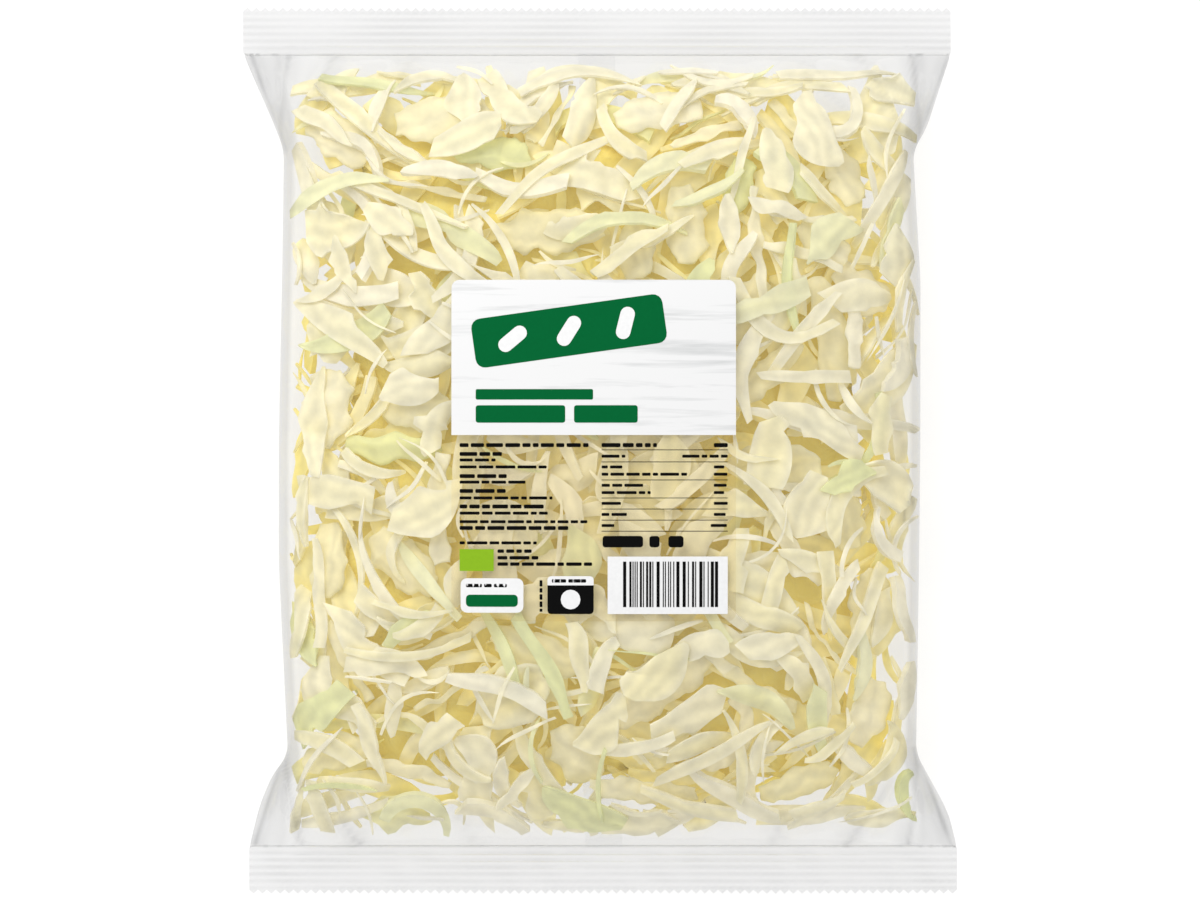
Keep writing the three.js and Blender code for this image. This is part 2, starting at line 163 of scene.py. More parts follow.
@dataclass
class Fold:
    """A soft crease in the film: its ends, half width and height in millimetres."""

    start: tuple
    end: tuple
    width: float
    height: float

    def place(self, x, y):
        """Shares along the fold and distances from it in half widths."""
        (ax, ay), (bx, by) = self.start, self.end
        length2 = (bx - ax) ** 2 + (by - ay) ** 2
        along = np.clip(((x - ax) * (bx - ax) + (y - ay) * (by - ay)) / length2, 0, 1)
        away = np.hypot(x - ax - along * (bx - ax), y - ay - along * (by - ay)) / self.width
        return along, away

    def relief(self, x, y):
        along, away = self.place(x, y)
        ridge = np.exp(-(away**2)) - 0.45 * np.exp(-((away - 1.9) ** 2))
        return self.height * ridge * np.sin(math.pi * np.clip(along, 0.04, 0.96)) ** 0.6

    def shade(self, x, y):
        """Share of painted shade along the fold's line, dark on one side of it, where the film is
        folded over.
        """
        along, away = self.place(x, y)
        line = np.exp(-((2.2 * away) ** 2)) + 0.35 * np.exp(-((away - 0.9) ** 2))
        return self.height * 0.17 * line * (1 - along) ** 0.3


SIDE_BAND = (4.5, 0.42)  # width of the painted dark edge along the sides, and its share of the painted fold shade
CORNER_BAND = 8  # further width of that edge at the seals


# From each corner of the seals the film runs in folds to the pinch and on to the shoulders.
FRONT_FOLDS = (
    Fold((113, 128), (101, 95), 1.7, 2.6),
    Fold((101, 128), (104, 90), 2.2, 2.4),
    Fold((84, 128), (99, 101), 2.4, 1.8),
    Fold((62, 128), (80, 108), 2.6, 1.2),
    Fold((-113, 128), (-101, 96), 1.8, 2.6),
    Fold((-101, 128), (-104, 92), 2.2, 2.4),
    Fold((-86, 128), (-98, 104), 2.4, 1.7),
    Fold((-60, 128), (-70, 111), 2.6, 1.1),
    Fold((114, -128), (101, -95), 1.8, 2.6),
    Fold((100, -128), (103, -88), 2.3, 2.4),
    Fold((80, -128), (95, -104), 2.5, 1.8),
    Fold((55, -128), (62, -112), 2.6, 1.2),
    Fold((-112, -128), (-101, -95), 1.7, 2.6),
    Fold((-97, -128), (-103, -90), 2.2, 2.5),
    Fold((-78, -128), (-93, -105), 2.4, 1.8),
    Fold((-40, -128), (-48, -113), 2.8, 1.1),
)
BACK_FOLDS = tuple(
    Fold((sx * start, sy * 128), (sx * end, sy * reach), 3.6, -1.1)
    for sx in (-1, 1)
    for sy in (-1, 1)
    for start, end, reach in ((108, 101, 96), (88, 97, 100), (60, 72, 106), (30, 34, 112))
)


def wave_field(x, y, waves, seed, shortest, longest):
    """A smooth random relief between -1 and 1, from plane waves of mixed lengths."""
    rng = np.random.default_rng(seed)
    total = 0
    for _ in range(waves):
        turn = rng.uniform(0, math.pi)
        pitch = math.tau / rng.uniform(shortest, longest)
        along = x * math.cos(turn) + y * math.sin(turn)
        total = total + np.sin(along * pitch + rng.uniform(0, math.tau))
    return total / math.sqrt(waves * 2)


def seal_pleats(x, y, seed):
    """Fine lengthwise pleats where the film is gathered flat into the seals."""
    rng = np.random.default_rng(seed)
    total = 0
    for _ in range(7):
        pitch = math.tau / rng.uniform(7, 24)
        total = total + np.sin(x * pitch + y * rng.uniform(-0.05, 0.05) + rng.uniform(0, math.tau))
    from_seal = (END_Y - np.abs(y)) / 9
    return total / 7 * from_seal * np.exp(1 - from_seal) * 1.3


def front_relief(x, y):
    slack = 0.38 * wave_field(x, y, 12, 3, 14, 46)
    folds = sum(fold.relief(x, y) for fold in FRONT_FOLDS)
    edge = np.clip(4 * arch_share(x, y, FRONT_ARCH), 0, 1) * np.clip((END_Y - np.abs(y)) / 5, 0, 1)
    return edge * (slack + folds + seal_pleats(x, y, 5))


def back_relief(x, y):
    lifted = np.clip(back_height(x, y) / 3, 0, 1)
    slack = 0.3 * wave_field(x, y, 10, 8, 16, 50)
    folds = sum(fold.relief(x, y) for fold in BACK_FOLDS)
    edge = np.clip((END_Y - np.abs(y)) / 5, 0, 1)
    return edge * lifted * (slack + folds - seal_pleats(x, y, 9))


def fold_shade(x, y):
    """How far painted shade darkens the film along its folds and its sides, from 0 to 1."""
    middle, half = middle_and_half(y)
    inside = half - np.abs(x - middle)
    width = SIDE_BAND[0] + CORNER_BAND * np.clip((np.abs(y) - 92) / 36, 0, 1)
    softened = 1 - 0.5 * np.clip((width - 5) / 6, 0, 1)
    band = SIDE_BAND[1] * np.clip((width - inside) / 1.5, 0, 1) * softened
    lines = sum(fold.shade(x, y) for fold in FRONT_FOLDS)
    return np.clip(band + lines * (1 + 0.5 * wave_field(x, y, 6, 77, 8, 30)), 0, 0.9)


def outer_front(x, y):
    """Height of the film's front with its folds."""
    return front_height(x, y) + front_relief(x, y)


# ---- Small tools ---------------------------------------------------------------------------


def linear(hex_colour):
    """An sRGB hex colour as linear red, green, blue and alpha."""
    channels = [int(hex_colour[i : i + 2], 16) / 255 for i in (0, 2, 4)]
    values = [c / 12.92 if c <= 0.04045 else ((c + 0.055) / 1.055) ** 2.4 for c in channels]
    return tuple(values) + (1.0,)


def add_node(tree, kind, sockets=None, **settings):
    """Adds a shader node. sockets maps an input's name or place to a value or an output."""
    made = tree.nodes.new(kind)
    for name, value in settings.items():
        setattr(made, name, value)
    for name, value in (sockets or {}).items():
        if isinstance(value, bpy.types.NodeSocket):
            tree.links.new(value, made.inputs[name])
        else:
            made.inputs[name].default_value = value
    return made


def new_material(name):
    """An empty node material and its tree."""
    made = bpy.data.materials.new(name)
    made.use_nodes = True
    made.node_tree.nodes.clear()
    made.cycles.emission_sampling = "NONE"
    return made, made.node_tree


def finish_material(tree, shader):
    add_node(tree, "ShaderNodeOutputMaterial", {"Surface": shader})


def link_piece(name, bm, material, slot, smooth=True, sharp=None):
    """Makes an object of a bmesh in millimetres, puts it in the scene and on the bag's body."""
    mesh = bpy.data.meshes.new(name)
    bmesh.ops.scale(bm, vec=(MM, MM, MM), verts=bm.verts)
    for face in bm.faces:
        face.smooth = smooth
    if sharp is not None:
        bm.normal_update()
        for edge in bm.edges:
            if len(edge.link_faces) == 2 and edge.calc_face_angle() > sharp:
                edge.smooth = False
    bm.to_mesh(mesh)
    bm.free()
    mesh.materials.append(material)
    piece = bpy.data.objects.new(name, mesh)
    bpy.context.scene.collection.objects.link(piece)
    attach(piece, "root")
    return piece


def grid_shares(verts):
    """Places of a fresh size 1 grid's vertices as shares from 0 to 1 across and along."""
    flat = np.array([vert.co[:2] for vert in verts])
    return (flat[:, 0] + 1) / 2, (flat[:, 1] + 1) / 2


def move_verts(verts, x, y, z):
    for vert, co in zip(verts, np.column_stack((x, y, z))):
        vert.co = co


# ---- Settings ------------------------------------------------------------------------------


def colour_setting(name, description, hex_colour):
    return FloatVectorProperty(
        name=name, description=description, subtype="COLOR", size=3, min=0, max=1,
        default=linear(hex_colour)[:3],
    )


class FilmSettings(PropertyGroup):
    """Finish of the clear film."""

    tint: colour_setting("Film tint", "Colour that one layer of film lets through", "F8F8F8")
    seal_tint: colour_setting("Seal tint", "Colour that each face of a seal lets through", "FAFAFA")
    seam_tint: colour_setting("Seam tint", "Colour that each face of the seam lets through", "FDFDFD")
    # Painted shade: the grey mixed into the film's own tint along its folds and sides.
    fold_shade_tint: colour_setting("Fold tint", "Colour that a folded edge lets through", "BEBEBF")
    haze: FloatProperty(name="Haze", description="Share of light that the film scatters", default=0.035,
                        min=0, max=1, subtype="FACTOR")
    seal_haze: FloatProperty(name="Seal haze", description="Share that the pressed seals scatter",
                             default=0.16, min=0, max=1, subtype="FACTOR")
    roughness: FloatProperty(name="Roughness", description="Roughness of the film's gloss",
                             default=0.12, min=0, max=1, subtype="FACTOR")
    rib_pitch: FloatProperty(name="Rib pitch", description="Spacing of the ribs pressed into the seals",
                             default=2.3 * MM, unit="LENGTH")
    tooth_depth: FloatProperty(name="Tooth depth", description="Depth of the seals' zig-zag edge",
                               default=1.3 * MM, unit="LENGTH")
    teeth: IntProperty(name="Teeth", description="Zig-zag teeth along each seal", default=80, min=2)


class ShredSettings(PropertyGroup):
    """Amount and colours of the shredded cabbage."""

    front_count: IntProperty(name="Front shreds", description="Loose shreds laid under the front",
                             default=1450, min=0)
    top_count: IntProperty(name="Top shreds", description="Thin shreds laid last, over the others",
                           default=110, min=0)
    back_count: IntProperty(name="Back shreds", description="Loose shreds laid along the back",
                            default=380, min=0)
    seed: IntProperty(name="Seed", description="Picks another random heap", default=11)
    bed_depth: FloatProperty(name="Bed depth", description="Depth of loose shreds over the core",
                             default=13 * MM, unit="LENGTH")
    flesh: colour_setting("Leaf", "Colour of the leaf pieces", "FCF7D6")
    rib: colour_setting("Rib", "Colour of the white rib slices", "FDFAEC")
    green: colour_setting("Green leaf", "Colour of the outer leaves", "F0F3C2")
    # Painted shade: golden colour mixed into the pieces by their depth under the film.
    deep: colour_setting("Deep leaf", "Colour of pieces far under the film", "F7EC9A")


class LabelSettings(PropertyGroup):
    """Colours of the label."""

    white: colour_setting("White", "Colour of the white print", "DEDEDE")
    dark_green: colour_setting("Dark green", "Colour of the large print", "005A2D")
    bright_green: colour_setting("Bright green", "Colour of the small block", "80A922")
    ink: colour_setting("Ink", "Colour of the small print", "080808")


class StageSettings(PropertyGroup):
    """Floor, lights and camera."""

    camera_height: FloatProperty(name="Camera height", description="Height above the seals",
                                 default=1.3, unit="LENGTH")
    lens: FloatProperty(name="Lens", description="Focal length in millimetres", default=120)
    key_power: FloatProperty(name="Key light", description="Power of the main softbox", default=8.6,
                             unit="POWER")
    world_light: FloatProperty(name="World light", description="Strength of the even light",
                               default=0.85)


class BagSettings(PropertyGroup):
    """All settings of the bag."""

    film: PointerProperty(type=FilmSettings)
    shreds: PointerProperty(type=ShredSettings)
    label: PointerProperty(type=LabelSettings)
    stage: PointerProperty(type=StageSettings)


# ---- Materials -----------------------------------------------------------------------------


def film_material(name, settings, tint, haze):
    """Oriented polypropylene film, blown and slit: water clear, glossy, with a trace of haze."""
    material, tree = new_material(name)
    # Painted shade: along its folds and sides the film's tint is mixed towards the darker fold tint, so
    # less light comes through there.
    fold_shade_share = add_node(tree, "ShaderNodeAttribute", attribute_name="film_fold_shade")
    through = add_node(tree, "ShaderNodeMix", {0: fold_shade_share.outputs["Fac"], 6: (*tint, 1),
                                               7: (*settings.fold_shade_tint, 1)}, data_type="RGBA")
    slant = add_node(tree, "ShaderNodeLayerWeight", {"Blend": 0.5})
    glance = add_node(tree, "ShaderNodeMath", {0: slant.outputs["Facing"], 1: 5.0}, operation="POWER")
    share = add_node(tree, "ShaderNodeMapRange", {0: glance.outputs[0], 3: 0.04 + haze, 4: 1.0})
    clear = add_node(tree, "ShaderNodeBsdfTransparent", {"Color": through.outputs[2]})
    gloss = add_node(tree, "ShaderNodeBsdfGlossy", {"Color": linear("F8F8F8"),
                                                    "Roughness": settings.roughness})
    film = add_node(tree, "ShaderNodeMixShader", {0: share.outputs[0], 1: clear.outputs[0],
                                                  2: gloss.outputs[0]})
    finish_material(tree, film.outputs[0])
    return material


def cabbage_material(settings):
    """Raw cabbage leaf, cut and moist: waxy, faintly see-through, with fine veins along it."""
    material, tree = new_material("raw cabbage leaf")
    tint = add_node(tree, "ShaderNodeAttribute", attribute_name="shred_tint_and_shade")
    grain = add_node(tree, "ShaderNodeAttribute", attribute_name="shred_grain")
    place = add_node(tree, "ShaderNodeTexCoord")
    parts = add_node(tree, "ShaderNodeSeparateColor", {0: tint.outputs["Color"]})
    cream = add_node(tree, "ShaderNodeMix", {0: parts.outputs[0], 6: (*settings.rib, 1),
                                             7: (*settings.flesh, 1)}, data_type="RGBA")
    green = add_node(tree, "ShaderNodeMix", {0: parts.outputs[1], 6: cream.outputs[2],
                                             7: (*settings.green, 1)}, data_type="RGBA")
    # Painted shade: pieces deep under the film are tinted golden, standing in for light that has passed
    # through other pieces on its way down.
    golden = add_node(tree, "ShaderNodeMix", {0: parts.outputs[2], 6: green.outputs[2],
                                              7: (*settings.deep, 1)}, data_type="RGBA")
    # Cloudy patches a few millimetres across, where the leaf is thicker or thinner.
    clouds = add_node(tree, "ShaderNodeTexNoise", {"Vector": place.outputs["Object"], "Scale": 190.0,
                                                   "Detail": 4.0})
    cloud_tone = add_node(tree, "ShaderNodeMapRange", {0: clouds.outputs[0], 1: 0.3, 2: 0.7, 3: 0.9,
                                                       4: 1.04})
    # Veins run along each piece, a few millimetres apart, in and out of sight.
    veins = add_node(tree, "ShaderNodeTexWave", {"Vector": grain.outputs["Vector"], "Scale": 62.0,
                                                 "Distortion": 9.0, "Detail": 2.0,
                                                 "Detail Scale": 0.8}, bands_direction="Y")
    vein_tone = add_node(tree, "ShaderNodeMapRange", {0: veins.outputs["Fac"], 1: 0.0, 2: 1.0,
                                                      3: 0.94, 4: 1.03})
    tone = add_node(tree, "ShaderNodeMath", {0: cloud_tone.outputs[0], 1: vein_tone.outputs[0]},
                    operation="MULTIPLY")
    colour = add_node(tree, "ShaderNodeVectorMath", {0: golden.outputs[2], 1: tone.outputs[0]},
                      operation="MULTIPLY")
    bump = add_node(tree, "ShaderNodeBump", {"Height": veins.outputs["Fac"], "Strength": 0.3,
                                             "Distance": 0.0003})
    rough = add_node(tree, "ShaderNodeMapRange", {0: clouds.outputs[0], 1: 0.3, 2: 0.7,
                                                  3: 0.34, 4: 0.5})
    # Stands in for the light that wanders inside the pieces and comes out in the gaps.
    scattered = add_node(tree, "ShaderNodeMapRange", {0: parts.outputs[2], 3: 0.085, 4: 0.26})
    flesh = add_node(tree, "ShaderNodeBsdfPrincipled", {
        "Base Color": colour.outputs[0], "Roughness": rough.outputs[0], "IOR": 1.4,
        "Normal": bump.outputs[0], "Emission Color": colour.outputs[0],
        "Emission Strength": scattered.outputs[0],
    })
    glow = add_node(tree, "ShaderNodeBsdfTranslucent", {"Color": colour.outputs[0]})
    leaf = add_node(tree, "ShaderNodeMixShader", {0: 0.45, 1: flesh.outputs[0], 2: glow.outputs[0]})
    finish_material(tree, leaf.outputs[0])
    return material


def core_material():
    """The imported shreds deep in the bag, seen only through gaps: the same leaf, in deep shade."""
    material, tree = new_material("packed cabbage in shade")
    place = add_node(tree, "ShaderNodeTexCoord")
    patches = add_node(tree, "ShaderNodeTexNoise", {"Vector": place.outputs["Object"], "Scale": 110.0,
                                                    "Detail": 4.0, "Distortion": 1.5})
    colour = add_node(tree, "ShaderNodeMix", {0: patches.outputs[0], 6: linear("F2DA5C"),
                                              7: linear("FAEC98")}, data_type="RGBA")
    bump = add_node(tree, "ShaderNodeBump", {"Height": patches.outputs[0], "Strength": 0.8,
                                             "Distance": 0.002})
    flesh = add_node(tree, "ShaderNodeBsdfPrincipled", {
        "Base Color": colour.outputs[2], "Roughness": 0.55, "IOR": 1.4, "Normal": bump.outputs[0],
    })
    finish_material(tree, flesh.outputs[0])
    return material


def label_paper_material():
    """White coated label paper, printed with faint wood grain that rises to the right."""
    material, tree = new_material("coated label paper")
    place = add_node(tree, "ShaderNodeTexCoord")
    turned = add_node(tree, "ShaderNodeMapping", {"Vector": place.outputs["Object"],
                                                  "Rotation": (0, 0, math.radians(-9)),
                                                  "Scale": (14.0, 240.0, 1.0)})
    grain = add_node(tree, "ShaderNodeTexNoise", {"Vector": turned.outputs[0], "Scale": 1.0,
                                                  "Detail": 5.0, "Roughness": 0.62,
                                                  "Distortion": 0.4})
    lines = add_node(tree, "ShaderNodeMapRange", {0: grain.outputs[0], 1: 0.3, 2: 0.46, 3: 0.0, 4: 1.0})
    colour = add_node(tree, "ShaderNodeMix", {0: lines.outputs[0], 6: linear("C2C3C3"),
                                              7: linear("DADADA")}, data_type="RGBA")
    paper = add_node(tree, "ShaderNodeBsdfPrincipled", {"Base Color": colour.outputs[2],
                                                        "Roughness": 0.42, "IOR": 1.45})
    finish_material(tree, paper.outputs[0])
    return material


def smoky_label_material():
    """The unprinted lower half of the label: clear plastic with a smoky grey tint."""
    material, tree = new_material("smoky clear label film")
    place = add_node(tree, "ShaderNodeTexCoord")
    cloud = add_node(tree, "ShaderNodeTexNoise", {"Vector": place.outputs["Object"], "Scale": 60.0})
    share = add_node(tree, "ShaderNodeMapRange", {0: cloud.outputs[0], 1: 0.3, 2: 0.7,
                                                  3: 0.015, 4: 0.03})
    clear = add_node(tree, "ShaderNodeBsdfTransparent", {"Color": linear("FFFDF8")})
    veil = add_node(tree, "ShaderNodeBsdfPrincipled", {"Base Color": linear("B9B8B4"),
                                                       "Roughness": 0.35, "IOR": 1.48})
    film = add_node(tree, "ShaderNodeMixShader", {0: share.outputs[0], 1: clear.outputs[0],
                                                  2: veil.outputs[0]})
    finish_material(tree, film.outputs[0])
    return material


def ink_material(name, colour):
    """Printing ink on the label: an even, thin coat with a slight mottle."""
    material, tree = new_material(name)
    place = add_node(tree, "ShaderNodeTexCoord")
    mottle = add_node(tree, "ShaderNodeTexNoise", {"Vector": place.outputs["Object"], "Scale": 900.0})
    tone = add_node(tree, "ShaderNodeMapRange", {0: mottle.outputs[0], 3: 0.92, 4: 1.05})
    shade = add_node(tree, "ShaderNodeVectorMath", {0: tuple(colour), 1: tone.outputs[0]},
                     operation="MULTIPLY")
    ink = add_node(tree, "ShaderNodeBsdfPrincipled", {"Base Color": shade.outputs[0],
                                                      "Roughness": 0.5, "Specular IOR Level": 0.05})
    finish_material(tree, ink.outputs[0])
    return material


# ---- Shreds --------------------------------------------------------------------------------


@dataclass
class ShredKind:
    """Ranges of one kind of shred: sizes in millimetres, angles in degrees, the rest as shares."""

    length: tuple
    width: tuple
    thickness: float
    bend: float  # how far its middle line curves in plan
    roll: float  # how far it leans to one side
    bow: float  # rise of its ends, as a share of its length
    camber: float  # rise of its middle, as a share of its width
    ragged: float  # unevenness of its edges, as a share of its width
    ruffle: float  # height of the waves along its edges
    crinkle: float  # height of the uneven lumps of its surface
    taper: tuple  # how far its two ends narrow
    whiteness: tuple
    stiffness: float  # how sharply it bends over what it lies on, per mm
    columns: int
    rows: int


LEAF = ShredKind((15, 36), (9, 21), 0.7, 30, 8, 0.05, 0.14, 0.28, 0.5, 0.45, (0.2, 1.0), (0.4, 1.0),
                 0.022, 15, 7)
STRIP = ShredKind((18, 44), (3.6, 8.5), 1.0, 36, 14, 0.06, 0.08, 0.2, 0.2, 0.25, (0.2, 1.0), (0.2, 0.9),
                  0.015, 14, 4)
RIB = ShredKind((18, 40), (4.5, 8.5), 2.2, 55, 10, 0.05, 0.06, 0.14, 0.1, 0.2, (0.2, 0.9), (0.0, 0.4),
                0.008, 13, 4)
SLIVER = ShredKind((12, 30), (1.2, 2.6), 0.7, 30, 10, 0.06, 0.0, 0.12, 0.0, 0.0, (0.4, 1.0), (0.0, 0.7),
                   0.012, 10, 2)


def ragged_edge(rng, u, most):
    """A cut and torn edge along u: straight runs between a few random corners."""
    corners = np.concatenate(([0], np.sort(rng.uniform(0.08, 0.92, rng.integers(2, 6))), [1]))
    return np.interp(u, corners, rng.normal(0, most, len(corners)))


def shape_shred(rng, kind):
    """A loose shred about its own middle: x, y and z arrays of its rows, and its colours."""
    length = rng.uniform(*kind.length)
    width = kind.width[0] + (kind.width[1] - kind.width[0]) * rng.beta(1.2, 1.8)
    u = np.linspace(0, 1, kind.columns)[:, None]
    v = np.linspace(-1, 1, kind.rows)[None, :]
    heading = math.radians(rng.normal(0, kind.bend * 1.5)) * (u - 0.5)
    heading = heading + math.radians(rng.normal(0, kind.bend * 0.2)) * np.sin(math.tau * u)
    step = length / (kind.columns - 1)
    line_x = np.cumsum(np.cos(heading), axis=0) * step
    line_y = np.cumsum(np.sin(heading), axis=0) * step
    line_x = line_x - line_x.mean()
    line_y = line_y - line_y.mean()
    near, far = rng.uniform(*kind.taper, 2)
    full = (1 - near * (1 - u) ** rng.uniform(1.3, 4)) * (1 - far * u ** rng.uniform(1.3, 4))
    left = width / 2 * np.maximum(full * (1 + ragged_edge(rng, u, kind.ragged)), 0.05)
    right = width / 2 * np.maximum(full * (1 + ragged_edge(rng, u, kind.ragged)), 0.05)
    side = np.where(v > 0, v * left, v * right)
    roll = math.radians(rng.normal(0, kind.roll))
    roll = roll + math.radians(rng.normal(0, kind.roll)) * (u - 0.5) * 2
    cuts = rng.normal(0, 0.5, 2)
    cut = side * (cuts[0] * (1 - u) ** 2 + cuts[1] * u**2)
    flat = side * np.cos(roll)
    x = line_x - flat * np.sin(heading) + cut * np.cos(heading)
    y = line_y + flat * np.cos(heading) + cut * np.sin(heading)
    z = rng.normal(0, kind.bow) * length * ((2 * u - 1) ** 2 - 0.3)
    z = z + side * np.sin(roll) + rng.normal(0, kind.camber) * width * (1 - v * v) * full
    z = z + kind.ruffle * np.sin(math.tau * (rng.uniform(1, 3) * u + rng.uniform())) * v * np.abs(v)
    z = z + kind.crinkle * wave_field(x, y, 5, int(rng.integers(1 << 30)), 5, 16)
    # Painted highlight: each piece is whiter towards its long edges, for the light that comes out at
    # its cut edges.
    leafy = rng.uniform(*kind.whiteness) * (1 - 0.55 * v**4) + 0 * u
    green = float(rng.uniform() < 0.1) * rng.uniform(0.3, 0.9)
    return x, y, z, leafy, green, step


@dataclass
class LaidShred:
    """A shred in its place: rows of upper points, their colours with painted depth shade, and the grain
    along it.
    """

    x: np.ndarray
    y: np.ndarray
    z: np.ndarray
    colour: np.ndarray
    grain: np.ndarray


def depth_shade(depth):
    """Share of painted golden shade on a piece this many millimetres under the film."""
    return np.clip((depth - 4) / 9, 0, 1)


class Heap:
    """Heights of what lies in the bag on a 1 mm grid, and the roof that it has to stay under."""

    HALF_X = 118
    HALF_Y = 131
    REACH_X = 102
    REACH_Y = 125

    def __init__(self, floor, roof):
        self.x, self.y = np.meshgrid(np.arange(-self.HALF_X, self.HALF_X + 1.0),
                                     np.arange(-self.HALF_Y, self.HALF_Y + 1.0))
        self.height = floor(self.x, self.y)
        self.roof = roof(self.x, self.y)
        self.slope_roof = self.roof.copy()
        narrow = (np.abs(self.x - 1.5) > self.REACH_X) | (np.abs(self.y) > self.REACH_Y)
        outside = (self.roof - self.height < 1.2) | narrow
        self.roof[outside] = -1000
        self.height[outside] = 1000

    def cells(self, x, y):
        column = np.clip(np.rint(x).astype(int) + self.HALF_X, 0, 2 * self.HALF_X)
        row = np.clip(np.rint(y).astype(int) + self.HALF_Y, 0, 2 * self.HALF_Y)
        return row, column

    def lower_roof(self, x, y, z):
        np.minimum.at(self.roof, self.cells(x, y), z)

    def raise_floor(self, x, y, z):
        np.maximum.at(self.height, self.cells(x, y), z)

    def free_place(self, rng, tries):
        """The emptiest of a few random places."""
        rows = rng.integers(0, self.height.shape[0], tries)
        columns = rng.integers(0, self.height.shape[1], tries)
        space = self.roof[rows, columns] - self.height[rows, columns]
        best = int(np.argmax(np.minimum(space, 5) + rng.uniform(0, 2.5, tries)))
        place = self.x[rows[best], columns[best]], self.y[rows[best], columns[best]]
        return place, space[best]

    def settle(self, x, y, z, stiffness, step):
        """Heights of a shred let down at x, y: it touches the heap and bends a little over it."""
        cells = self.cells(x, y)
        roof = self.slope_roof[cells]
        shape = z + roof - roof.mean()
        need = (self.height[cells] - shape).max(axis=1)
        count = np.arange(len(need))
        away = (count[:, None] - count[None, :]) * step
        lift = (need[None, :] - stiffness * away**2).max(axis=1)
        settled = shape + lift[:, None]
        return settled, (self.roof[cells] - settled).min()

    def lay(self, rng, kind, tries=3, least=1.5):
        """Lays one more shred where there is room, or returns None."""
        (px, py), space = self.free_place(rng, 14)
        if space < least:
            return None
        local_x, local_y, local_z, leafy, green, step = shape_shred(rng, kind)
        best = None
        for _ in range(tries):
            turn = rng.uniform(0, math.tau)
            cx = px + rng.normal(0, 3)
            cy = py + rng.normal(0, 3)
            x = cx + local_x * math.cos(turn) - local_y * math.sin(turn)
            y = cy + local_x * math.sin(turn) + local_y * math.cos(turn)
            for flatness in (1.0, 0.4):
                z, room = self.settle(x, y, local_z * flatness, kind.stiffness, step)
                if room < kind.thickness:
                    continue
                if best is None or z.mean() - self.slope_roof[self.cells(cx, cy)] < best[0]:
                    best = (z.mean() - self.slope_roof[self.cells(cx, cy)], x, y, z)
                break
        if best is None:
            return None
        _, x, y, z = best
        top = z + kind.thickness
        self.fill_under(x, y, top)
        shade = depth_shade(self.slope_roof[self.cells(x, y)] - top)
        colour = np.stack((leafy, np.full_like(x, green), shade, np.ones_like(x)), axis=-1)
        offset = rng.uniform(-40, 40, 3)
        layer = np.full_like(x, offset[2])
        grain = np.stack((local_x + offset[0], local_y + offset[1], layer), axis=-1)
        return LaidShred(x, y, top, colour, grain)

    def fill_under(self, x, y, top):
        """Raises the heap to a laid shred, with samples between its rows."""
        for s in (0.0, 0.5):
            for t in (0.0, 0.5):
                corner = [mix(mix(a[:-1, :-1], a[1:, :-1], s), mix(a[:-1, 1:], a[1:, 1:], s), t)
                          for a in (x, y, top)]
                self.raise_floor(*corner)
        self.raise_floor(x, y, top)


def shred_group(name, shreds, thickness, material, slot, upside_down=False):
    """One object of many separate shreds, each a closed thin body."""
    bm = bmesh.new()
    tint = bm.verts.layers.float_color.new("shred_tint_and_shade")
    grain = bm.verts.layers.float_vector.new("shred_grain")
    for shred in shreds:
        columns, rows = shred.x.shape
        made = bmesh.ops.create_grid(bm, x_segments=columns - 1, y_segments=rows - 1, size=1)["verts"]
        x, y, z, along, colour = shred.x, shred.y, shred.z, shred.grain, shred.colour
        if upside_down:
            x, y, z = x[:, ::-1], y[:, ::-1], thickness - z[:, ::-1]
            along, colour = along[:, ::-1], colour[:, ::-1]
        move_verts(made, x.T.ravel(), y.T.ravel(), z.T.ravel())
        along = along.transpose(1, 0, 2).reshape(-1, 3) * MM
        colour = colour.transpose(1, 0, 2).reshape(-1, 4)
        for vert, vert_grain, vert_tint in zip(made, along, colour):
            vert[grain] = vert_grain
            vert[tint] = vert_tint
    bmesh.ops.solidify(bm, geom=bm.faces[:], thickness=thickness)
    return link_piece(name, bm, material, slot, sharp=math.radians(50))


